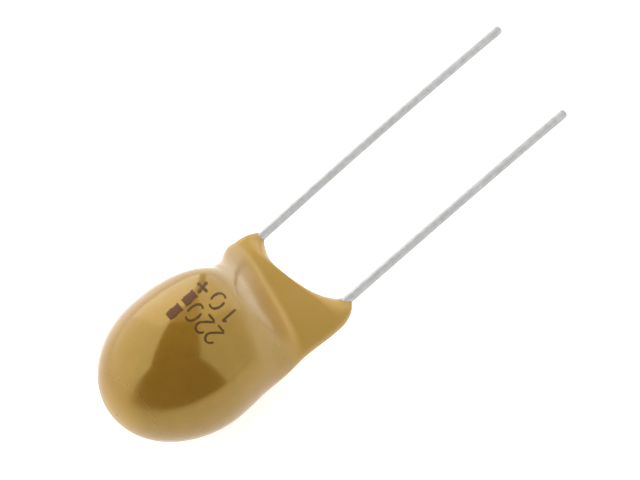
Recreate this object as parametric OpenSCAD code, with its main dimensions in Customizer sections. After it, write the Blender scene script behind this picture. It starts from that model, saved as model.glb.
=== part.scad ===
// Radial dipped tantalum capacitor, lying as it comes to rest: on the underside
// of its bead and on the tips of both leads.
// Millimetres. +X runs along the leads from the bead to the lead tips, +Y from
// the negative lead to the positive lead, +Z up. The origin is on the surface
// the part lies on, under the middle of its outline.
// Inside the source each piece is first drawn in the lead frame: x = 0 where the
// leads leave the coat, z = 0 in the plane of the leads. rest() then lays it down.

/* [Leads] */
// Distance between the lead axes where they leave the coat
lead_pitch = 6.35; // [6.2:0.05:6.6]
// Diameter of both leads
lead_d = 0.51; // [0.45:0.01:0.6]
// Bare length of the positive lead
lead_pos_len = 20.6; // [12:0.1:26]
// Bare length of the negative lead
lead_neg_len = 18.3; // [12:0.1:26]
// Angle by which each lead splays outward
lead_splay = 0.7; // [0:0.1:2]
// Radius on the cropped edge of each lead tip
tip_round = 0.12; // [0.05:0.01:0.2]

/* [Bead] */
// Distance from the lead exits back to the widest section of the bead
bead_back = 9.03; // [8.8:0.01:9.2]
// Length of the bead's far half, from its widest section to its closed end
bead_far = 5.19; // [5.1:0.01:5.6]
// Half width of the bead
bead_half_w = 4.21; // [4.1:0.01:4.5]
// Half thickness of the bead
bead_half_t = 4.03; // [3.95:0.01:4.4]
// Sideways shift of the bead's centre towards the positive lead
bead_side = 0.19; // [0:0.01:0.3]
// Height of the bead's centre above the plane of the leads
bead_lift = 0.59; // [0.5:0.01:0.7]
// Sideways lean of the bead's axis, as a slope
bead_lean = -0.037; // [-0.05:0.001:0]
// Length over which the bead's width runs into the neck
wide_len = 4.1; // [3.9:0.1:4.6]
// How long the width stays full before it falls
wide_round = 2.9; // [2.5:0.1:3.3]

/* [Neck] */
// Length over which the bead's thickness runs into the neck
fall_len = 6.2; // [6.1:0.05:6.5]
// How long the thickness stays full before it falls
fall_round = 3.0; // [2.9:0.1:3.3]
// How softly width and thickness run out into the neck
fall_pow = 1.53; // [1.3:0.01:1.6]
// Slope by which the foot of the bead runs back on the negative side
slant = 0.4; // [0.2:0.01:0.45]
// Distance from the lead exits back to the narrowest section of the neck
pinch_back = 4.67; // [4.5:0.01:5]
// Half width of the neck at its narrowest on the positive side
pinch_pos = 2.88; // [2.8:0.01:3.2]
// Half width of the neck at its narrowest on the negative side
pinch_neg = 3.98; // [3.8:0.01:4]
// Half thickness of the flat neck
neck_half_t = 0.83; // [0.78:0.01:1.1]
// Half width at the shoulder of the positive horn
horn_pos = 3.86; // [3.8:0.01:4.1]
// Half width at the shoulder of the negative horn
horn_neg = 4.12; // [3.9:0.01:4.2]
// Length of the rounded end of each horn
horn_len = 1.6; // [1.4:0.02:1.8]
// Depth of the hollow edge between the horns
saddle = 1.36; // [1:0.01:1.5]
// Exponent of the hollow edge: 2 is a parabola, more is flatter at the bottom
saddle_pow = 2.07; // [2:0.01:2.6]
// Exponent of the neck's cross-section: 2 is an ellipse, more is squarer
neck_square = 2.8; // [2.4:0.1:3.2]

/* [Anode] */
// Diameter of the sintered pellet
pellet_d = 5.5; // [4.8:0.1:5.6]
// Length of the sintered pellet
pellet_len = 5.4; // [4.6:0.1:5.6]
// Distance from the lead exits back to the pellet's wire end
pellet_back = 6.1; // [6:0.05:6.4]
// Sideways place of the pellet's axis
pellet_y = 0.1; // [0:0.01:0.2]
// Height of the pellet's axis above the plane of the leads
pellet_z = 0.45; // [0.35:0.01:0.5]
// Diameter of the riser wire pressed into the pellet
riser_d = 0.38; // [0.3:0.01:0.42]
// Length of riser wire held inside the pellet
riser_in = 3.6; // [2:0.1:4]
// Length of riser wire outside the pellet
riser_out = 2.7; // [2.2:0.1:2.9]
// Diameter of the insulating washer on the riser
washer_d = 1.7; // [1.4:0.1:2]
// Thickness of the insulating washer
washer_t = 0.3; // [0.2:0.02:0.4]

/* [Cathode layers] */
// Thickness of the manganese dioxide skin
mno2_t = 0.06; // [0.05:0.01:0.07]
// Thickness of the graphite layer
graphite_t = 0.06; // [0.05:0.01:0.07]
// Thickness of the silver layer
silver_t = 0.06; // [0.05:0.01:0.07]
// Diameter of the solder fillet along the negative lead
solder_d = 1.0; // [0.9:0.02:1.05]
// Length of the straight part of the solder fillet
solder_len = 2.4; // [2:0.1:2.8]

/* [Hidden] */
$fn = 48;

lead_r = lead_d / 2;
lead_y = lead_pitch / 2;
riser_r = riser_d / 2;
pellet_r = pellet_d / 2;
mno2_r = pellet_r + mno2_t;
graphite_r = mno2_r + graphite_t;
silver_r = graphite_r + silver_t;
pellet_top = -pellet_back;
pellet_bot = pellet_top - pellet_len;
// The positive lead is pressed this far into the riser where they are welded.
weld_sink = 0.06;
riser_off = riser_r + lead_r - weld_sink;
// Bend radius and angle of the step in the positive lead
step_r = 0.8;
step_a = 58;

/* ---- outer shape of the coat ---- */

bead_x = -bead_back;
pinch_x = -pinch_back;
shoulder_x = -horn_len;
coat_tip = bead_x - bead_far;

// Smooth step from 0 to 1
function ease(t) = let (u = min(1, max(0, t))) u * u * u * (u * (6 * u - 15) + 10);
function signed_pow(v, e) = v < 0 ? -pow(-v, e) : pow(v, e);

// Width of the coat's section at x: [half width, exponent, y centre]
function widths(x) =
    let (dx = x - bead_x,
         t = ease((x - pinch_x) / (shoulder_x - pinch_x)),
         f = ease((dx - 1) / (pinch_x - bead_x + 0.8)),
         e = sqrt(max(0, 1 - pow(min(0, dx) / bead_far, 2))),
         s = pow(1 - pow(min(1, max(0, dx) / wide_len), wide_round), fall_pow),
         lp = dx < 0 ? bead_half_w * e + bead_side + bead_lean * dx
              : pinch_pos + (horn_pos - pinch_pos) * t + (bead_half_w + bead_side - pinch_pos) * s,
         ln = dx < 0 ? bead_half_w * e - bead_side - bead_lean * dx
              : pinch_neg + (horn_neg - pinch_neg) * t + (bead_half_w - bead_side - pinch_neg) * s)
    [(lp + ln) / 2, 2 + (neck_square - 2) * f, (lp - ln) / 2];

// Thickness of the coat at x, y: [half thickness, z centre]
function thickness(x, y) =
    let (dx = x - bead_x - slant * y * ease((x - bead_x) / 3),
         u = min(1, max(0, dx) / fall_len),
         h = dx < 0 ? bead_half_t * sqrt(max(0, 1 - pow(dx / bead_far, 2)))
             : neck_half_t + (bead_half_t - neck_half_t) * pow(1 - pow(u, fall_round), fall_pow))
    [h, bead_lift * (1 - ease((dx - 1.8) / (bead_back - pinch_back + 0.2)))];

ring_n = 56;   // points round each section
body_n = 34;   // sections from the closed end to the shoulder
rim_n = 9;     // sections round the rim
rim_end = 0.1; // height left at the rim, as a share of the neck's

function ring(x) =
    let (s = widths(x))
    [for (i = [0:ring_n - 1])
        let (a = i * 360 / ring_n,
             y = s[2] + s[0] * signed_pow(cos(a), 2 / s[1]),
             h = thickness(x, y))
        [x, y, h[1] + h[0] * signed_pow(sin(a), 2 / s[1])]];

// The rim rolls from the shoulder section to the hollow edge between the leads.
function rim_ring(j) =
    let (s = widths(shoulder_x),
         k = max(rim_end, cos(90 * j / rim_n)), t = sqrt(1 - k * k),
         w = lead_y + (s[0] - lead_y) * k)
    [for (i = [0:ring_n - 1])
        let (a = i * 360 / ring_n,
             p = signed_pow(cos(a), 2 / s[1]), q = signed_pow(sin(a), 2 / s[1]),
             h = thickness(shoulder_x, s[2] + s[0] * p),
             edge = -saddle * (1 - pow(abs(p), saddle_pow)))
        [shoulder_x + (edge - shoulder_x) * t, s[2] * k + w * p, (h[1] + h[0] * q) * k]];

coat_points = concat(
    [for (j = [1:body_n])
        each ring(coat_tip + (shoulder_x - coat_tip) * (1 - cos(90 * j / body_n)))],
    [for (j = [1:rim_n]) each rim_ring(j)],
    [[coat_tip, bead_side - bead_lean * bead_far, bead_lift]]);
coat_rings = body_n + rim_n;
coat_faces = concat(
    [for (i = [0:ring_n - 1]) [coat_rings * ring_n, i, (i + 1) % ring_n]],
    [for (j = [0:coat_rings - 2], i = [0:ring_n - 1])
        let (m = (i + 1) % ring_n, a = j * ring_n, b = a + ring_n)
        each [[a + i, b + i, b + m], [a + i, b + m, a + m]]],
    // the narrow strip that closes the rim
    [for (i = [0:ring_n / 2 - 1])
        let (b = (coat_rings - 1) * ring_n, m = (ring_n - i) % ring_n, n = ring_n - i - 1)
        each (i == 0 ? [[b, b + n, b + 1]]
              : i == ring_n / 2 - 1 ? [[b + i, b + m, b + i + 1]]
              : [[b + i, b + m, b + n], [b + i, b + n, b + i + 1]])]);

/* ---- how the part lies ---- */

function lead_dir(side) = [cos(lead_splay), side * sin(lead_splay), 0];
function lead_tip(side, len) = [0, side * lead_y, 0] + (len - tip_round) * lead_dir(side);
function reach(d) = max([for (p = coat_points) p * d]);
function tip_drop(side, d) =
    tip_round + (lead_r - tip_round) * sqrt(1 - pow(lead_dir(side) * d, 2));

// Downward direction, in the lead frame, at which the coat and both lead tips
// touch one plane. Each pass takes the coat's reach from the last direction and
// solves the two tips' equations for the next.
function settle(d, n) =
    n == 0 ? d :
    let (h = reach(d),
         a = lead_tip(1, lead_pos_len), b = lead_tip(-1, lead_neg_len),
         u = h - tip_drop(1, d), v = h - tip_drop(-1, d),
         det = a[0] * b[1] - a[1] * b[0],
         x = (u * b[1] - v * a[1]) / det, y = (a[0] * v - b[0] * u) / det)
    settle([x, y, -sqrt(1 - x * x - y * y)], n - 1);

down = settle([0.1, 0, -0.995], 24);
up = -down;
along = let (v = [1, 0, 0] - up[0] * up) v / norm(v);
across = cross(up, along);

tip_x = lead_tip(1, lead_pos_len) * along + tip_round
        + (lead_r - tip_round) * sqrt(1 - pow(lead_dir(1) * along, 2));
coat_back = min([for (p = coat_points) p * along]);
coat_left = max([for (p = coat_points) p * across]);
coat_right = min([for (p = coat_points) p * across]);
shift = [-(tip_x + coat_back) / 2, -(coat_left + coat_right) / 2, reach(down)];

module rest() {
    multmatrix([[along[0], along[1], along[2], shift[0]],
                [across[0], across[1], across[2], shift[1]],
                [up[0], up[1], up[2], shift[2]],
                [0, 0, 0, 1]])
        children();
}

/* ---- building blocks, in the lead frame ---- */

// Cylinder along +X
module rod(r, x0, x1) {
    translate([x0, 0, 0]) rotate([0, 90, 0]) cylinder(r = r, h = x1 - x0);
}

// Same, on the pellet's axis
module core(r, x0, x1) {
    translate([0, pellet_y, pellet_z]) rod(r, x0, x1);
}

// Straight run of a lead, from a point inside the coat to its cropped, rounded tip
module straight_run(side, inside, len) {
    translate([0, side * lead_y, 0]) rotate([0, 0, side * lead_splay]) rotate([0, 90, 0])
        rotate_extrude() polygon(concat(
            [[0, -inside], [lead_r, -inside]],
            [for (a = [0:15:90]) [lead_r - tip_round * (1 - cos(a)),
                                  len - tip_round * (1 - sin(a))]],
            [[0, len]]));
}

// A lead's round wall starts this far inside the coat; the rest is a swept tube.
root_in = 0.2;

// The positive lead steps across to the riser wire and runs beside it for the weld.
weld_len = 1.3;
weld_back = 3.8; // middle of the weld, back from the lead exits
step_gap = [lead_y - weld_back * sin(lead_splay) - pellet_y, pellet_z];
step_plane = atan2(step_gap[1], step_gap[0]);
step_off = norm(step_gap) - riser_off;
step_arc = step_r * (1 - cos(step_a));
step_mid = (step_off - 2 * step_arc) / sin(step_a);
step_in = weld_back - weld_len / 2 - 2 * step_r * sin(step_a) - step_mid * cos(step_a);

// Axis of the step as [distance inward, distance across, heading]
bend_n = 7;
step_path = let (x1 = step_in + step_r * sin(step_a), y1 = step_arc,
                 x2 = x1 + step_mid * cos(step_a), y2 = y1 + step_mid * sin(step_a),
                 x3 = x2 + step_r * sin(step_a)) concat(
    [[root_in - 0.4, 0, 0]],
    [for (i = [0:bend_n]) let (a = step_a * i / bend_n)
        [step_in + step_r * sin(a), step_r * (1 - cos(a)), a]],
    [for (i = [0:bend_n]) let (a = step_a * (1 - i / bend_n))
        [x3 - step_r * sin(a), step_off - step_r * (1 - cos(a)), a]],
    [[x3 + weld_len, step_off, 0]]);

// Round tube along a flat path; its first ring is buried in the straight run.
module tube(path, r, n = 24) {
    points = [for (p = path, i = [0:n - 1])
        let (c = r * cos(360 * i / n), s = r * sin(360 * i / n))
        [p[0] - c * sin(p[2]), p[1] + c * cos(p[2]), s]];
    last = (len(path) - 1) * n;
    faces = concat(
        [[for (i = [0:n - 1]) i]],
        [for (j = [0:len(path) - 2], i = [0:n - 1])
            let (m = (i + 1) % n, a = j * n, b = a + n)
            each [[a + i, b + i, b + m], [a + i, b + m, a + m]]],
        [[for (i = [0:n - 1]) last + n - 1 - i]]);
    polyhedron(points = points, faces = faces, convexity = 4);
}

module positive_wire() {
    straight_run(1, root_in, lead_pos_len);
    translate([0, lead_y, 0]) rotate([0, 0, 180 + lead_splay]) rotate([step_plane, 0, 0])
        tube(step_path, lead_r * 0.985);
}

// The negative lead straightens just inside the coat and runs on beside the pellet.
turn_in = 0.7;
negative_run = pellet_back + pellet_len - 0.8 - turn_in;
solder_back = pellet_back + pellet_len / 2 - 0.3;

module negative_wire() {
    straight_run(-1, root_in, lead_neg_len);
    translate([0, -lead_y, 0]) rotate([0, 0, 180 - lead_splay])
        tube([[root_in - 0.4, 0, 0], [turn_in, 0, lead_splay / 2],
              [turn_in + negative_run * cos(lead_splay), negative_run * sin(lead_splay), lead_splay]],
             lead_r * 0.985);
}

module solder_body() {
    translate([0, -lead_y, 0]) rotate([0, 0, 180 - lead_splay])
        translate([turn_in, 0, 0]) rotate([0, 0, lead_splay])
            translate([solder_back - solder_len / 2 - turn_in, 0, 0]) {
                rod(solder_d / 2, 0, solder_len);
                sphere(solder_d / 2);
                translate([solder_len, 0, 0]) sphere(solder_d / 2);
            }
}

/* ---- pieces ---- */

module epoxy_coat() {
    color([0.72, 0.55, 0.27]) rest() difference() {
        polyhedron(points = coat_points, faces = coat_faces, convexity = 6);
        core(mno2_r, pellet_bot - mno2_t, pellet_top + mno2_t);
        core(graphite_r, pellet_bot - mno2_t - graphite_t, pellet_top - 0.2);
        core(silver_r, pellet_bot - mno2_t - graphite_t - silver_t, pellet_top - 0.5);
        core(washer_d / 2, pellet_top, pellet_top + washer_t);
        core(riser_r, pellet_top, pellet_top + riser_out);
        solder_body();
        positive_wire();
        negative_wire();
    }
}

module positive_lead() {
    color([0.74, 0.74, 0.73]) rest() difference() {
        positive_wire();
        core(riser_r, pellet_top, pellet_top + riser_out);
    }
}

module negative_lead() {
    color([0.74, 0.74, 0.73]) rest() negative_wire();
}

module riser_wire() {
    color([0.5, 0.51, 0.54]) rest()
        core(riser_r, pellet_top - riser_in, pellet_top + riser_out);
}

module anode_pellet() {
    color([0.3, 0.31, 0.34]) rest() difference() {
        core(pellet_r, pellet_bot, pellet_top);
        core(riser_r, pellet_top - riser_in, pellet_top + riser_out);
    }
}

module insulating_washer() {
    color([0.93, 0.93, 0.9]) rest() difference() {
        core(washer_d / 2, pellet_top, pellet_top + washer_t);
        core(riser_r, pellet_top - riser_in, pellet_top + riser_out);
    }
}

module manganese_dioxide_skin() {
    color([0.12, 0.11, 0.11]) rest() difference() {
        core(mno2_r, pellet_bot - mno2_t, pellet_top + mno2_t);
        core(pellet_r, pellet_bot, pellet_top);
        core(washer_d / 2, pellet_top, pellet_top + washer_t);
    }
}

module graphite_layer() {
    color([0.2, 0.2, 0.21]) rest() difference() {
        core(graphite_r, pellet_bot - mno2_t - graphite_t, pellet_top - 0.2);
        core(mno2_r, pellet_bot - mno2_t, pellet_top + mno2_t);
    }
}

module silver_layer() {
    color([0.8, 0.8, 0.8]) rest() difference() {
        core(silver_r, pellet_bot - mno2_t - graphite_t - silver_t, pellet_top - 0.5);
        core(graphite_r, pellet_bot - mno2_t - graphite_t, pellet_top - 0.2);
    }
}

module cathode_solder() {
    color([0.66, 0.67, 0.68]) rest() difference() {
        solder_body();
        core(silver_r, pellet_bot - mno2_t - graphite_t - silver_t, pellet_top - 0.5);
        negative_wire();
    }
}

epoxy_coat();
positive_lead();
negative_lead();
riser_wire();
anode_pellet();
insulating_washer();
manganese_dioxide_skin();
graphite_layer();
silver_layer();
cathode_solder();
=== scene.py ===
"""Looks for the radial dipped tantalum capacitor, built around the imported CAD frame."""

import math

import bpy
import numpy as np
from mathutils import Matrix, Vector
from mathutils.bvhtree import BVHTree

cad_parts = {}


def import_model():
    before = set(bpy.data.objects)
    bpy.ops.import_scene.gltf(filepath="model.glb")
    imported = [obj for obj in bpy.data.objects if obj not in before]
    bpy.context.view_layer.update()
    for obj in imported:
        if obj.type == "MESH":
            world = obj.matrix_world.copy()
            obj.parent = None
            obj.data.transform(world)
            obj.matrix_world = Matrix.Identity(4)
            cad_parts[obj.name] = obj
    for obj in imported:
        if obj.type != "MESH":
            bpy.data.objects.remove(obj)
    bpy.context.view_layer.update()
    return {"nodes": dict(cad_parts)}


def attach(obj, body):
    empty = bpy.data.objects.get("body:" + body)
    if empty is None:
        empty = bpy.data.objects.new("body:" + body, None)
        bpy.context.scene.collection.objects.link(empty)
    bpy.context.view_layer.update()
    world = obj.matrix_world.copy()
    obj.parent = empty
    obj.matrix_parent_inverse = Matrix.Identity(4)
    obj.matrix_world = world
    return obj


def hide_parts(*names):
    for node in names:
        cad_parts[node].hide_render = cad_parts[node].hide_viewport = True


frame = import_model()
MM = 0.001

# ------------------------------------------------------------------ dimensions
# The CAD's own dimensions in millimetres, in its lead frame: x = 0 where the
# leads leave the coat, z = 0 in the plane of the leads.
D = dict(
    lead_pitch=6.35, lead_d=0.51, pos_len=20.6, neg_len=18.3, splay=0.7, tip=0.12,
    bead_back=9.03, bead_far=5.19, half_w=4.21, half_t=4.03,
    side=0.19, lift=0.59, lean=-0.037,
    wide_len=4.1, wide_round=2.9, fall_len=6.2, fall_round=3.0, fall_pow=1.53, slant=0.4,
    pinch_back=4.67, pinch_pos=2.88, pinch_neg=3.98, neck_t=0.83,
    horn_pos=3.86, horn_neg=4.12, horn_len=1.6, saddle=1.36, saddle_pow=2.07,
    square=2.8,
)
LEAD_R = D["lead_d"] / 2
LEAD_Y = D["lead_pitch"] / 2
SPLAY = math.radians(D["splay"])
BEAD_X, PINCH_X, SHOULDER_X = -D["bead_back"], -D["pinch_back"], -D["horn_len"]
TIP_X = BEAD_X - D["bead_far"]


def ease(t):
    u = np.clip(t, 0, 1)
    return u * u * u * (u * (6 * u - 15) + 10)


def signed_pow(v, e):
    return np.sign(v) * np.abs(v) ** e


def widths(x):
    """Half width, exponent and y centre of the coat's section at x."""
    dx = x - BEAD_X
    t = float(ease((x - PINCH_X) / (SHOULDER_X - PINCH_X)))
    f = float(ease((dx - 1) / (PINCH_X - BEAD_X + 0.8)))
    if dx < 0:
        e = math.sqrt(max(0.0, 1 - (dx / D["bead_far"]) ** 2))
        side = D["side"] + D["lean"] * dx
        lp, ln = D["half_w"] * e + side, D["half_w"] * e - side
    else:
        s = (1 - min(1.0, dx / D["wide_len"]) ** D["wide_round"]) ** D["fall_pow"]
        lp = (D["pinch_pos"] + (D["horn_pos"] - D["pinch_pos"]) * t
              + (D["half_w"] + D["side"] - D["pinch_pos"]) * s)
        ln = (D["pinch_neg"] + (D["horn_neg"] - D["pinch_neg"]) * t
              + (D["half_w"] - D["side"] - D["pinch_neg"]) * s)
    return (lp + ln) / 2, 2 + (D["square"] - 2) * f, (lp - ln) / 2


def thickness(x, y):
    """Half thickness and z centre of the coat at x, y."""
    dx = x - BEAD_X
    dx = dx - D["slant"] * y * float(ease(dx / 3))
    far = D["half_t"] * np.sqrt(np.clip(1 - (np.minimum(dx, 0) / D["bead_far"]) ** 2, 0, None))
    u = np.clip(dx / D["fall_len"], 0, 1)
    near = D["neck_t"] + (D["half_t"] - D["neck_t"]) * (1 - u ** D["fall_round"]) ** D["fall_pow"]
    drop = ease((dx - 1.8) / (D["bead_back"] - D["pinch_back"] + 0.2))
    return np.where(dx < 0, far, near), D["lift"] * (1 - drop)


def coat_grid(ring_n, body_n, rim_n, rim_end):
    """Rings of points from the closed end over the shoulder to the hollow edge."""
    a = np.arange(ring_n) * 2 * np.pi / ring_n
    c, s = np.cos(a), np.sin(a)
    c[np.abs(c) < 1e-9] = 0
    s[np.abs(s) < 1e-9] = 0
    rings = []
    for j in range(1, body_n + 1):
        x = TIP_X + (SHOULDER_X - TIP_X) * (1 - math.cos(math.pi / 2 * j / body_n))
        w, n, yc = widths(x)
        y = yc + w * signed_pow(c, 2 / n)
        h, zc = thickness(x, y)
        rings.append(np.stack([np.full(ring_n, x), y, zc + h * signed_pow(s, 2 / n)], 1))
    w0, n, yc = widths(SHOULDER_X)
    p, q = signed_pow(c, 2 / n), signed_pow(s, 2 / n)
    h, zc = thickness(SHOULDER_X, yc + w0 * p)
    for j in range(1, rim_n + 1):
        k = max(rim_end, math.cos(math.pi / 2 * j / rim_n))
        t = math.sqrt(1 - k * k)
        w = LEAD_Y + (w0 - LEAD_Y) * k
        edge = -D["saddle"] * (1 - np.abs(p) ** D["saddle_pow"])
        rings.append(np.stack([SHOULDER_X + (edge - SHOULDER_X) * t,
                               yc * k + w * p, (zc + h * q) * k], 1))
    return np.array(rings), np.array([TIP_X, D["side"] - D["lean"] * D["bead_far"], D["lift"]])


def lead_dir(side):
    return np.array([math.cos(SPLAY), side * math.sin(SPLAY), 0.0])


def resting_pose():
    """The CAD's resting pose: down is the direction at which the coat and both
    lead tips touch one plane. Uses the same points on the coat as the CAD."""
    grid, apex = coat_grid(56, 34, 9, 0.1)
    pts = np.vstack([grid.reshape(-1, 3), apex])
    rc = D["tip"]
    tip = lambda side, length: np.array([0, side * LEAD_Y, 0]) + (length - rc) * lead_dir(side)
    fall = lambda side, d: rc + (LEAD_R - rc) * math.sqrt(1 - (lead_dir(side) @ d) ** 2)
    a, b = tip(1, D["pos_len"]), tip(-1, D["neg_len"])
    d = np.array([0.1, 0, -0.995])
    for _ in range(24):
        h = (pts @ d).max()
        u, v = h - fall(1, d), h - fall(-1, d)
        det = a[0] * b[1] - a[1] * b[0]
        x, y = (u * b[1] - v * a[1]) / det, (a[0] * v - b[0] * u) / det
        d = np.array([x, y, -math.sqrt(1 - x * x - y * y)])
    up = -d
    along = np.array([1, 0, 0]) - up[0] * up
    along /= np.linalg.norm(along)
    across = np.cross(up, along)
    tx = a @ along + rc + (LEAD_R - rc) * math.sqrt(1 - (lead_dir(1) @ along) ** 2)
    rot = np.array([along, across, up])
    q = pts @ rot.T
    shift = np.array([-(tx + q[:, 0].min()) / 2, -(q[:, 1].max() + q[:, 1].min()) / 2,
                      (pts @ d).max()])
    return rot, shift


ROT, SHIFT = resting_pose()


def world(p):
    """Lead frame in millimetres to the row frame in metres."""
    return (np.asarray(p, float) @ ROT.T + SHIFT) * MM


# ------------------------------------------------------------------ mesh helpers
def make_mesh(name, verts, faces, smooth=True, sharp=None):
    me = bpy.data.meshes.new(name)
    me.from_pydata([tuple(v) for v in verts], [], faces)
    me.update()
    me.validate()
    me.polygons.foreach_set("use_smooth", [smooth] * len(me.polygons))
    if sharp is not None:
        me.set_sharp_from_angle(angle=math.radians(sharp))
    ob = bpy.data.objects.new(name, me)
    bpy.context.scene.collection.objects.link(ob)
    return ob


def grid_normals(g):
    du = np.gradient(g, axis=0)
    dv = np.roll(g, -1, axis=1) - np.roll(g, 1, axis=1)
    n = np.cross(dv, du)
    n /= np.linalg.norm(n, axis=2, keepdims=True) + 1e-12
    out = g - g.mean(1, keepdims=True)
    sign = np.sign((out * n).sum(2).mean())
    return n * sign


def add_attribute(ob, name, values):
    at = ob.data.attributes.new(name, "FLOAT", "POINT")
    at.data.foreach_set("value", np.asarray(values, np.float32))


# ------------------------------------------------------------------ coat
RING, BODY, RIM = 224, 132, 34


def lead_distance(p, side):
    """Distance of points from a lead's axis, and how far along it they are."""
    d = lead_dir(side)
    v = p - np.array([0, side * LEAD_Y, 0])
    t = v @ d
    return np.linalg.norm(v - t[..., None] * d, axis=-1), t


def build_coat():
    g, apex = coat_grid(RING, BODY, RIM, 0.02)
    n = grid_normals(g)
    x, y, z = g[..., 0], g[..., 1], g[..., 2]
    # The slow unevenness of a dipped coat. It only ever draws the surface inward.
    wave = (np.sin(1.31 * x + 0.9 * y + 0.4) * np.sin(0.87 * y - 1.13 * z + 1.7)
            + 0.7 * np.sin(0.63 * x - 1.57 * y + 2.1 * z + 0.9)
            + 0.5 * np.sin(2.3 * y + 1.2 * x - 0.6) * np.cos(1.9 * z + 0.5 * x))
    g = g - n * (0.011 * (1 + wave / 2.2))[..., None]
    # Resin drawn up round each lead.
    for side in (1, -1):
        r, t = lead_distance(g, side)
        h = np.clip(1 - np.abs(r - LEAD_R) / 0.26, 0, 1) * (t > -2.2)
        g = g + n * (h * h * 0.26 / 4)[..., None]
    rings = g.shape[0]
    verts = np.vstack([g.reshape(-1, 3), apex + [0.011, 0, 0]])
    top = rings * RING
    faces = [(top, (i + 1) % RING, i) for i in range(RING)]
    for j in range(rings - 1):
        for i in range(RING):
            m = (i + 1) % RING
            a = j * RING
            faces.append((a + i, a + m, a + RING + m, a + RING + i))
    # the narrow strip that closes the rim
    b = (rings - 1) * RING
    for i in range(RING // 2):
        m, k = (RING - i) % RING, RING - i - 1
        if i == 0:
            faces.append((b, b + 1, b + k))
        elif i == RING // 2 - 1:
            faces.append((b + i, b + i + 1, b + m))
        else:
            faces.append((b + i, b + i + 1, b + k, b + m))
    ob = make_mesh("coat_resin", world(verts), faces)
    me = ob.data
    import bmesh
    bm = bmesh.new()
    bm.from_mesh(me)
    bmesh.ops.recalc_face_normals(bm, faces=bm.faces)
    bm.to_mesh(me)
    bm.free()
    # How thin the resin is: the flat neck, its rim and the horns
    thick = np.concatenate([thickness(v[0, 0], v[:, 1])[0] for v in g] + [[4.0]])
    rim = np.concatenate([np.repeat(np.clip((np.arange(rings) - BODY + 6) / (RIM + 6), 0, 1), RING), [0]])
    thin = np.clip((1.9 - thick) / 1.05, 0, 1)
    add_attribute(ob, "thin", thin)
    add_attribute(ob, "neck", ease((3.6 - thick) / 2.4))
    add_attribute(ob, "rim", rim ** 2)
    return ob, verts


coat, coat_verts = build_coat()
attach(coat, "root")
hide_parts("epoxy_coat")


# ------------------------------------------------------------------ leads
def rod_along(name, path, radii, seg):
    """Closed round rod on a path, with its rings turned as little as possible."""
    path = np.asarray(path, float)
    tan = np.gradient(path, axis=0)
    tan /= np.linalg.norm(tan, axis=1, keepdims=True)
    side = np.cross(tan[0], [0, 0, 1.0])
    side /= np.linalg.norm(side)
    verts, frames = [], []
    for i, p in enumerate(path):
        side = side - (side @ tan[i]) * tan[i]
        side /= np.linalg.norm(side)
        up = np.cross(side, tan[i])
        frames.append((side.copy(), up))
    ang = np.arange(seg) * 2 * np.pi / seg
    rows = [path[i] + radii[i] * (np.outer(np.cos(ang), frames[i][0]) + np.outer(np.sin(ang), frames[i][1]))
            for i in range(len(path))]
    verts = np.vstack(rows + [path[:1], path[-1:]])
    n = len(path)
    faces = []
    for j in range(n - 1):
        for i in range(seg):
            m = (i + 1) % seg
            a = j * seg
            faces.append((a + i, a + m, a + seg + m, a + seg + i))
    s, e = n * seg, n * seg + 1
    for i in range(seg):
        m = (i + 1) % seg
        faces.append((s, m, i))
        faces.append((e, (n - 1) * seg + i, (n - 1) * seg + m))
    ob = make_mesh(name, world(verts), faces, sharp=50)
    import bmesh
    bm = bmesh.new()
    bm.from_mesh(ob.data)
    bmesh.ops.recalc_face_normals(bm, faces=bm.faces)
    bm.to_mesh(ob.data)
    bm.free()
    return ob


def lead_path(side, length, bow_y, bow_z):
    """Centreline of a lead outside the coat, from just inside it to the tip."""
    d = lead_dir(side)
    rc = D["tip"]
    xs = np.concatenate([np.arange(-0.5, length - rc, 0.1), [length - rc]])
    pts = np.array([0, side * LEAD_Y, 0]) + xs[:, None] * d
    s = np.clip(xs, 0, length - rc) / (length - rc)
    pts[:, 1] += bow_y * np.sin(np.pi * s) ** 1.2
    pts[:, 2] += bow_z * np.sin(np.pi * s)
    radii = [LEAD_R * (1 + 0.004 * math.sin(2.1 * v) * math.sin(0.77 * v + 1)) for v in xs]
    radii[-1] = LEAD_R
    # cropped tip: rounded edge, then a faintly domed end
    end = []
    for a in (20, 40, 60, 78, 90):
        q = math.radians(a)
        end.append((length - rc + rc * math.sin(q) * 0.9, LEAD_R - rc * (1 - math.cos(q))))
    end.append((length - 0.006, LEAD_R * 0.28))
    tail = np.array([np.array([0, side * LEAD_Y, 0]) + v * d for v, _ in end])
    return np.vstack([pts, tail]), radii + [r for _, r in end]


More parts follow.
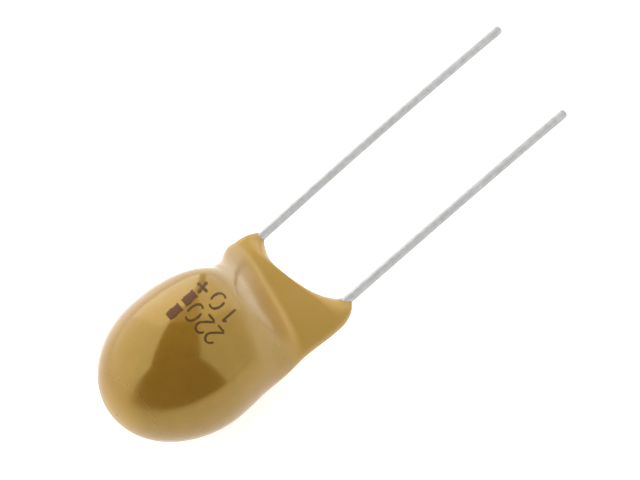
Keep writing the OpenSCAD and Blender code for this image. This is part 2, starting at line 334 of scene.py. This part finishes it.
def positive_inner():
    """Step of the positive lead inside the coat, from the weld out to the exit."""
    pellet_y, pellet_z = 0.1, 0.45
    weld_back, weld_len, step_r, step_a = 3.8, 1.3, 0.8, math.radians(58)
    gap = np.array([LEAD_Y - weld_back * math.sin(SPLAY) - pellet_y, pellet_z])
    plane = math.atan2(gap[1], gap[0])
    off = np.linalg.norm(gap) - (0.19 + LEAD_R - 0.06)
    arc = step_r * (1 - math.cos(step_a))
    mid = (off - 2 * arc) / math.sin(step_a)
    start = weld_back - weld_len / 2 - 2 * step_r * math.sin(step_a) - mid * math.cos(step_a)
    pts = []
    for i in range(13):
        a = step_a * i / 12
        pts.append((start + step_r * math.sin(a), step_r * (1 - math.cos(a))))
    x3 = pts[-1][0] + mid * math.cos(step_a) + step_r * math.sin(step_a)
    for i in range(13):
        a = step_a * (1 - i / 12)
        pts.append((x3 - step_r * math.sin(a), off - step_r * (1 - math.cos(a))))
    pts.append((x3 + weld_len * 0.5, off))
    pts.append((x3 + weld_len, off))
    turn = math.pi + SPLAY
    out = []
    for px, py in pts:
        v = (px, py * math.cos(plane), py * math.sin(plane))
        out.append((v[0] * math.cos(turn) - v[1] * math.sin(turn),
                    LEAD_Y + v[0] * math.sin(turn) + v[1] * math.cos(turn), v[2]))
    return np.array(out[::-1])


outer, radii = lead_path(1, D["pos_len"], 0.075, 0.02)
inner = positive_inner()
inner = inner[inner[:, 0] < -0.55]
pos_path = np.vstack([inner, outer])
pos_lead = rod_along("positive_lead_wire", pos_path, [LEAD_R * 0.985] * len(inner) + radii, 40)
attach(pos_lead, "root")
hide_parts("positive_lead")

outer, radii = lead_path(-1, D["neg_len"], 0.02, 0.015)
run = 6.1 + 5.4 - 0.8 - 0.7
near = np.array([0, -LEAD_Y, 0]) - 0.7 * lead_dir(-1)
inner = np.array([near + np.array([-v, 0, 0]) for v in np.linspace(run, 0, 40)])
neg_path = np.vstack([inner, outer])
neg_lead = rod_along("negative_lead_wire", neg_path, [LEAD_R * 0.985] * len(inner) + radii, 40)
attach(neg_lead, "root")
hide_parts("negative_lead")


# ------------------------------------------------------------------ marking
# Plain figures, a plus sign and two polarity blocks, as stamped ink that follows the coat.
tree = BVHTree.FromPolygons([tuple(v) for v in coat_verts],
                            [tuple(p.vertices) for p in coat.data.polygons])


def print_place(u, v):
    """Stamp's own plane in millimetres, u rightward and v up, to x and y on the coat."""
    t, s = -v / 0.061, -u / 0.054
    x = (-0.944651304 + 0.0833367266 * t - 0.00497343546 * s - 8.44447858e-05 * t * s
         + 1.25126403e-04 * t * t + 1.99207843e-04 * s * s)
    y = (-0.74919627 + 0.0239989119 * t - 0.0515315461 * s - 8.63904809e-05 * t * s
         + 1.12986070e-04 * t * t + 2.02707419e-04 * s * s)
    return x, y


def on_coat(u, v, lift):
    x, y = print_place(u, v)
    hit, n, _, _ = tree.ray_cast(Vector((x, y, 8)), Vector((0, 0, -1)))
    if n.z < 0:
        n = -n
    return np.array(hit) + lift * np.array(n)


def ribbon(points, width, verts, faces, taper=True, across=5):
    """Adds one stroke: a thin closed film that follows the coat."""
    p = np.asarray(points, float)
    step = np.concatenate([[0], np.cumsum(np.linalg.norm(np.diff(p, axis=0), axis=1))])
    n = max(4, int(step[-1] / 0.035))
    s = np.linspace(0, step[-1], n + 1)
    c = np.stack([np.interp(s, step, p[:, 0]), np.interp(s, step, p[:, 1])], 1)
    tan = np.gradient(c, axis=0)
    tan /= np.linalg.norm(tan, axis=1, keepdims=True)
    nor = np.stack([-tan[:, 1], tan[:, 0]], 1)
    base = len(verts)
    rows = []
    for i in range(n + 1):
        e = min(s[i], s[-1] - s[i]) / (width * 0.5)
        w = width * (0.55 + 0.45 * math.sqrt(max(0, 1 - (1 - min(1, e)) ** 2)) if taper else 1)
        w *= 1 + 0.07 * math.sin(9.3 * s[i] + 5 * p[0, 0]) + 0.04 * math.sin(23 * s[i] + p[0, 1])
        rows.append([c[i] + nor[i] * w * (k / (across - 1) - 0.5) for k in range(across)])
    for lift_mid, lift_edge in ((0.0075, 0.003), (-0.012, -0.012)):
        for row in rows:
            for k, q in enumerate(row):
                edge = k in (0, across - 1)
                verts.append(on_coat(q[0], q[1], lift_edge if edge else lift_mid))
    m = (n + 1) * across
    for i in range(n):
        for k in range(across - 1):
            a = base + i * across + k
            faces.append((a, a + 1, a + across + 1, a + across))
            b = a + m
            faces.append((b, b + across, b + across + 1, b + 1))
        for k in (0, across - 1):
            a = base + i * across + k
            q = (a, a + across, a + m + across, a + m)
            faces.append(q if k == 0 else q[::-1])
    for i in (0, n):
        for k in range(across - 1):
            a = base + i * across + k
            q = (a, a + m, a + m + 1, a + 1)
            faces.append(q if i == 0 else q[::-1])


def arc(cx, cy, rx, ry, a0, a1, n=26):
    return [(cx + rx * math.cos(math.radians(a0 + (a1 - a0) * i / n)),
             cy + ry * math.sin(math.radians(a0 + (a1 - a0) * i / n))) for i in range(n + 1)]


def glyph(kind, u0, u1, v0, v1):
    """Strokes of one figure in the box u0..u1, v0..v1, cut like a stencil."""
    w, h = u1 - u0, v1 - v0
    cx, cy = (u0 + u1) / 2, (v0 + v1) / 2
    if kind == "0":
        return [arc(cx, cy, w / 2, h / 2, 62, 208), arc(cx, cy, w / 2, h / 2, 238, 388)]
    if kind == "1":
        return [[(cx + 0.02, v0), (cx, cy), (cx - 0.01, v1)], [(cx - 0.17, v1 - 0.2), (cx - 0.07, v1 - 0.07), (cx, v1)]]
    if kind == "2":
        top = arc(cx, v1 - h * 0.29, w / 2, h * 0.29, 172, -28)
        return [top + [(cx + 0.02, v0 + h * 0.3), (u0 + 0.01, v0 + 0.03)],
                [(u0 + 0.07, v0), (cx, v0 + 0.005), (u1, v0)]]
    if kind == "+":
        return [[(u0, cy), (u1, cy)], [(cx, v0), (cx, v1)]]
    raise ValueError(kind)


def stamp():
    verts, faces = [], []
    U, V = 0.054, 0.061
    row1, row2 = (104 * V, 124 * V), (80 * V, 98 * V)
    for kind, a, b, row in (("2", 5, 15.5, row1), ("2", 19.5, 30, row1), ("0", 34.5, 46, row1),
                            ("1", 13, 18.5, row2), ("0", 27.5, 39.5, row2)):
        for stroke in glyph(kind, a * U, b * U, *row):
            ribbon(stroke, 0.135, verts, faces)
    cu, cv = 53 * U, 92 * V
    tilt = math.radians(7)
    for stroke in glyph("+", -0.36, 0.36, -0.42, 0.42):
        turned = [(cu + q[0] * math.cos(tilt) - q[1] * math.sin(tilt),
                   cv + q[0] * math.sin(tilt) + q[1] * math.cos(tilt)) for q in stroke]
        ribbon(turned, 0.19, verts, faces)
    ob = make_mesh("figures_print", world(np.array(verts)), faces, sharp=40)
    verts, faces = [], []
    for v0, v1 in ((101 * V, 116 * V), (120.5 * V, 137 * V)):
        ribbon([(54 * U, v0), (54 * U, (v0 + v1) / 2), (54 * U, v1)], 0.5, verts, faces, taper=False, across=9)
    blocks = make_mesh("polarity_print", world(np.array(verts)), faces, sharp=40)
    return ob, blocks


figures, blocks = stamp()
for ob in (figures, blocks):
    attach(ob, "root")


# ------------------------------------------------------------------ materials
class Nodes:
    """Small helper that keeps the node code short."""

    def __init__(self, name):
        self.mat = bpy.data.materials.new(name)
        self.mat.use_nodes = True
        self.t = self.mat.node_tree
        self.bsdf = self.t.nodes["Principled BSDF"]

    def add(self, kind, **inputs):
        n = self.t.nodes.new(kind)
        for k, v in inputs.items():
            key = k.replace("_", " ")
            if key in n.inputs:
                n.inputs[key].default_value = v
            else:
                setattr(n, k, v)
        return n

    def link(self, a, b):
        self.t.links.new(a, b)

    def set(self, **values):
        for k, v in values.items():
            self.bsdf.inputs[k.replace("_", " ")].default_value = v

    def coords(self, scale=(1000, 1000, 1000), rotation=(0, 0, 0)):
        tc = self.add("ShaderNodeTexCoord")
        m = self.add("ShaderNodeMapping")
        m.inputs["Scale"].default_value = scale
        m.inputs["Rotation"].default_value = rotation
        self.link(tc.outputs["Object"], m.inputs["Vector"])
        return m.outputs["Vector"]

    def noise(self, vec, scale, detail=2.0, rough=0.5, distortion=0.0):
        n = self.t.nodes.new("ShaderNodeTexNoise")
        n.inputs["Scale"].default_value = scale
        n.inputs["Detail"].default_value = detail
        n.inputs["Roughness"].default_value = rough
        n.inputs["Distortion"].default_value = distortion
        self.link(vec, n.inputs["Vector"])
        return n.outputs["Fac"]

    def ramp(self, fac, stops):
        r = self.t.nodes.new("ShaderNodeValToRGB")
        el = r.color_ramp.elements
        while len(el) < len(stops):
            el.new(0.5)
        for e, (pos, col) in zip(el, stops):
            e.position = pos
            e.color = (*col, 1) if len(col) == 3 else col
        self.link(fac, r.inputs["Fac"])
        return r.outputs["Color"]

    def span(self, fac, lo, hi, f0=0.0, f1=1.0):
        m = self.t.nodes.new("ShaderNodeMapRange")
        m.inputs["From Min"].default_value, m.inputs["From Max"].default_value = f0, f1
        m.inputs["To Min"].default_value, m.inputs["To Max"].default_value = lo, hi
        self.link(fac, m.inputs["Value"])
        return m.outputs["Result"]

    def mix(self, fac, a, b, mode="MIX"):
        m = self.t.nodes.new("ShaderNodeMix")
        m.data_type = "RGBA"
        m.blend_type = mode
        for sock, v in ((m.inputs["Factor"], fac), (m.inputs[6], a), (m.inputs[7], b)):
            if isinstance(v, bpy.types.NodeSocket):
                self.link(v, sock)
            elif isinstance(v, (int, float)):
                sock.default_value = v
            else:
                sock.default_value = (*v, 1)
        return m.outputs[2]

    def attr(self, name):
        a = self.t.nodes.new("ShaderNodeAttribute")
        a.attribute_name = name
        return a.outputs["Fac"]

    def bump(self, height, distance, strength=1.0, onto=None):
        b = self.t.nodes.new("ShaderNodeBump")
        b.inputs["Strength"].default_value = strength
        b.inputs["Distance"].default_value = distance
        self.link(height, b.inputs["Height"])
        if onto is not None:
            self.link(onto, b.inputs["Normal"])
        return b.outputs["Normal"]


def epoxy_material():
    m = Nodes("epoxy_resin")
    v = m.coords()
    slow = m.noise(v, 0.33, 3.0, 0.55, 0.3)
    cloud = m.noise(v, 1.1, 4.0, 0.6)
    fine = m.noise(v, 11.0, 3.0, 0.65)
    speck = m.noise(v, 5.5, 1.0, 0.4)
    base = m.ramp(slow, [(0.36, (0.240, 0.118, 0.009)), (0.52, (0.222, 0.106, 0.006)), (0.66, (0.246, 0.110, 0.008))])
    base = m.mix(m.span(cloud, 0.0, 0.30, 0.35, 0.7), base, (0.186, 0.084, 0.004))
    base = m.mix(m.span(m.attr("thin"), 0.0, 0.6), base, (0.350, 0.190, 0.026))
    base = m.mix(m.span(m.attr("rim"), 0.0, 0.35), base, (0.260, 0.125, 0.010))
    base = m.mix(m.span(fine, 0.0, 0.14, 0.42, 0.68), base, (0.15, 0.068, 0.004))
    base = m.mix(m.span(speck, 0.0, 0.18, 0.71, 0.78), base, (0.12, 0.055, 0.003))
    m.link(base, m.bsdf.inputs["Base Color"])
    rough = m.t.nodes.new("ShaderNodeMath")
    m.link(m.span(m.noise(v, 2.1, 3.0, 0.6), 0.10, 0.17, 0.3, 0.7), rough.inputs[0])
    m.link(m.span(m.attr("neck"), 0.0, 0.20), rough.inputs[1])
    m.link(rough.outputs[0], m.bsdf.inputs["Roughness"])
    n1 = m.bump(m.noise(v, 1.5, 2.0, 0.5), 0.0000024)
    n2 = m.bump(m.noise(v, 9.0, 2.0, 0.5), 0.0000003, onto=n1)
    m.link(n2, m.bsdf.inputs["Normal"])
    m.set(IOR=1.6, Specular_IOR_Level=1.0, Subsurface_Weight=0.12, Subsurface_Scale=0.0005, Coat_Weight=0.0)
    m.bsdf.inputs["Specular Tint"].default_value = (1.0, 0.81, 0.31, 1)
    m.bsdf.inputs["Subsurface Radius"].default_value = (1.0, 0.55, 0.2)
    return m.mat


def ink_material(name, dark, light):
    m = Nodes(name)
    v = m.coords()
    worn = m.noise(v, 6.0, 4.0, 0.7)
    base = m.mix(m.span(worn, 0.0, 0.75, 0.45, 0.75), dark, light)
    m.link(base, m.bsdf.inputs["Base Color"])
    m.link(m.span(worn, 0.30, 0.48, 0.3, 0.7), m.bsdf.inputs["Roughness"])
    m.link(m.bump(m.noise(v, 16.0, 3.0, 0.6), 0.000001), m.bsdf.inputs["Normal"])
    m.set(IOR=1.48, Specular_IOR_Level=0.35)
    m.bsdf.inputs["Specular Tint"].default_value = (1.0, 0.8, 0.5, 1)
    return m.mat


def lead_material():
    m = Nodes("tinned_wire")
    tilt = (0, math.radians(-6.6), 0)
    streak = m.coords((60, 2600, 2600), tilt)
    v = m.coords()
    lines = m.noise(streak, 6.0, 3.0, 0.6)
    dull = m.noise(v, 2.4, 4.0, 0.65)
    grain = m.noise(v, 26.0, 2.0, 0.5)
    base = m.ramp(dull, [(0.32, (0.30, 0.298, 0.296)), (0.5, (0.36, 0.358, 0.354)), (0.7, (0.42, 0.418, 0.414))])
    base = m.mix(m.span(lines, 0.0, 0.35, 0.5, 0.72), base, (0.21, 0.208, 0.206))
    base = m.mix(m.span(grain, 0.0, 0.2, 0.5, 0.75), base, (0.46, 0.46, 0.455))
    m.link(base, m.bsdf.inputs["Base Color"])
    m.link(m.span(dull, 0.30, 0.44, 0.3, 0.7), m.bsdf.inputs["Roughness"])
    n1 = m.bump(lines, 0.0000022)
    m.link(m.bump(grain, 0.0000012, onto=n1), m.bsdf.inputs["Normal"])
    m.set(Metallic=1.0)
    return m.mat


def metal_material(name, a, b, rough, scale, height, streak=None, metallic=1.0):
    m = Nodes(name)
    v = m.coords(streak or (1000, 1000, 1000))
    n = m.noise(v, scale, 4.0, 0.65)
    m.link(m.ramp(n, [(0.34, a), (0.66, b)]), m.bsdf.inputs["Base Color"])
    m.link(m.span(m.noise(v, scale * 2.3, 2.0), rough[0], rough[1], 0.3, 0.7), m.bsdf.inputs["Roughness"])
    m.link(m.bump(m.noise(v, scale * 3, 3.0, 0.6), height), m.bsdf.inputs["Normal"])
    m.set(Metallic=metallic)
    return m.mat


def sinter_material():
    m = Nodes("tantalum_sinter")
    v = m.coords()
    cell = m.t.nodes.new("ShaderNodeTexVoronoi")
    cell.inputs["Scale"].default_value = 14
    m.link(v, cell.inputs["Vector"])
    pores = m.noise(v, 7.0, 4.0, 0.7)
    base = m.ramp(cell.outputs["Distance"], [(0.05, (0.05, 0.052, 0.06)), (0.6, (0.17, 0.175, 0.19))])
    base = m.mix(m.span(pores, 0.0, 0.6, 0.5, 0.7), base, (0.03, 0.03, 0.036))
    m.link(base, m.bsdf.inputs["Base Color"])
    m.link(m.span(pores, 0.55, 0.8, 0.3, 0.7), m.bsdf.inputs["Roughness"])
    m.link(m.bump(cell.outputs["Distance"], 0.000012), m.bsdf.inputs["Normal"])
    m.set(Metallic=0.7)
    return m.mat


def plain_material(name, a, b, rough, scale, height):
    return metal_material(name, a, b, rough, scale, height, metallic=0.0)


LOOKS = {
    "riser_wire": metal_material("tantalum_wire", (0.28, 0.29, 0.32), (0.42, 0.43, 0.46), (0.32, 0.45), 5.0, 2e-6, (120, 1800, 1800)),
    "anode_pellet": sinter_material(),
    "insulating_washer": plain_material("fluoropolymer_white", (0.78, 0.78, 0.74), (0.88, 0.88, 0.85), (0.4, 0.55), 3.0, 2e-6),
    "manganese_dioxide_skin": plain_material("manganese_dioxide_black", (0.010, 0.009, 0.009), (0.035, 0.032, 0.03), (0.75, 0.92), 9.0, 9e-6),
    "graphite_layer": metal_material("graphite_grey", (0.03, 0.03, 0.033), (0.085, 0.085, 0.09), (0.45, 0.62), 6.0, 4e-6, metallic=0.4),
    "silver_layer": metal_material("silver_paint_flake", (0.52, 0.51, 0.49), (0.74, 0.73, 0.71), (0.38, 0.55), 12.0, 3e-6, metallic=0.9),
    "cathode_solder": metal_material("solder_fillet", (0.50, 0.51, 0.52), (0.68, 0.69, 0.70), (0.18, 0.34), 2.0, 3e-6),
}
for node, mat in LOOKS.items():
    data = frame["nodes"][node].data
    if data.materials:
        for i in range(len(data.materials)):
            data.materials[i] = mat
    else:
        data.materials.append(mat)

# The three nodes that dense pieces stand for carry the same finishes, unseen.
resin, tin = epoxy_material(), lead_material()
for node, mat in (("epoxy_coat", resin), ("positive_lead", tin), ("negative_lead", tin)):
    data = frame["nodes"][node].data
    if data.materials:
        for i in range(len(data.materials)):
            data.materials[i] = mat
    else:
        data.materials.append(mat)
coat.data.materials.append(resin)
pos_lead.data.materials.append(tin)
neg_lead.data.materials.append(tin)
figures.data.materials.append(ink_material("stamp_ink_olive", (0.070, 0.029, 0.003), (0.13, 0.06, 0.006)))
blocks.data.materials.append(ink_material("stamp_ink_russet", (0.088, 0.026, 0.007), (0.12, 0.042, 0.010)))


# ------------------------------------------------------------------ stage
def build_floor():
    n, size = 48, 1.6
    c = np.linspace(-size, size, n + 1)
    verts = [(x, y, 0.0) for y in c for x in c]
    faces = [(j * (n + 1) + i, j * (n + 1) + i + 1, (j + 1) * (n + 1) + i + 1, (j + 1) * (n + 1) + i)
             for j in range(n) for i in range(n)]
    ob = make_mesh("stage_floor", verts, faces)
    m = Nodes("stage_paper_painted_glow")
    v = m.coords((1, 1, 1))
    tone = m.ramp(m.noise(v, 9.0, 3.0), [(0.3, (0.86, 0.86, 0.86)), (0.7, (0.89, 0.89, 0.888))])
    m.link(tone, m.bsdf.inputs["Base Color"])
    # Painted light: the paper glows in its own tone, at strength 0.75 within 3 cm of the centre, fading to 0.05 by 16
    # cm, so the object's cast shadow is washed out.
    m.link(tone, m.bsdf.inputs["Emission Color"])
    far = m.t.nodes.new("ShaderNodeVectorMath")
    far.operation = "LENGTH"
    m.link(v, far.inputs[0])
    m.link(m.span(far.outputs["Value"], 0.75, 0.05, 0.03, 0.16), m.bsdf.inputs["Emission Strength"])
    m.set(Roughness=0.8, Specular_IOR_Level=0.2)
    ob.data.materials.append(m.mat)


build_floor()

BEAD = world([BEAD_X, D["side"], D["lift"]])


def softbox(name, azimuth, dist, back, front, height, level, color=(1, 1, 1)):
    """Upright softbox at a compass bearing from the bead. front and back are how far it
    runs to either side, and level is its radiance."""
    a = math.radians(azimuth)
    out = Vector((math.cos(a), math.sin(a), 0))
    run = Vector((-math.sin(a), math.cos(a), 0))
    centre = Vector(BEAD) + out * dist + run * ((front - back) / 2)
    centre.z = height / 2
    light = bpy.data.lights.new(name, "AREA")
    light.shape = "RECTANGLE"
    light.size, light.size_y = front + back, height
    light.energy = level * math.pi * light.size * light.size_y
    light.color = color
    ob = bpy.data.objects.new(name, light)
    ob.location = centre
    z = out  # an area light shines along its own -Z
    y = Vector((0, 0, 1))
    x = y.cross(z)
    ob.rotation_euler = Matrix((x, y, z)).transposed().to_euler()
    bpy.context.scene.collection.objects.link(ob)
    return ob


# left bank, whose front end is at bearing 172, and right bank, whose front end is at -80
softbox("left_bank", 118, 0.20, 0.54, 0.275, 0.52, 1.95)
softbox("right_bank", -28, 0.20, 0.26, 0.50, 0.43, 1.2)
softbox("back_bank", 38, 0.26, 0.24, 0.24, 0.46, 0.55)

w = bpy.data.worlds.new("studio_air")
w.use_nodes = True
w.node_tree.nodes["Background"].inputs["Color"].default_value = (1.0, 0.99, 0.975, 1)
w.node_tree.nodes["Background"].inputs["Strength"].default_value = 0.30
bpy.context.scene.world = w
bpy.context.scene.view_settings.view_transform = "Standard"
bpy.context.scene.view_settings.look = "None"

# ------------------------------------------------------------------ camera
cam = bpy.data.cameras.new("studio_camera")
cam.sensor_width = 36.0
cam.lens = 153.93
cam.clip_start, cam.clip_end = 0.005, 20
cam_ob = bpy.data.objects.new("studio_camera", cam)
right = Vector((0.668312, -0.739196, -0.083361))
up = Vector((0.649890, 0.525666, 0.548924))
back = right.cross(up)
cam_ob.matrix_world = Matrix.Translation(Vector((-56.0061, -63.1029, 127.9744)) * MM) @ \
    Matrix((right, up, back)).transposed().to_4x4()
bpy.context.scene.collection.objects.link(cam_ob)
bpy.context.scene.camera = cam_ob
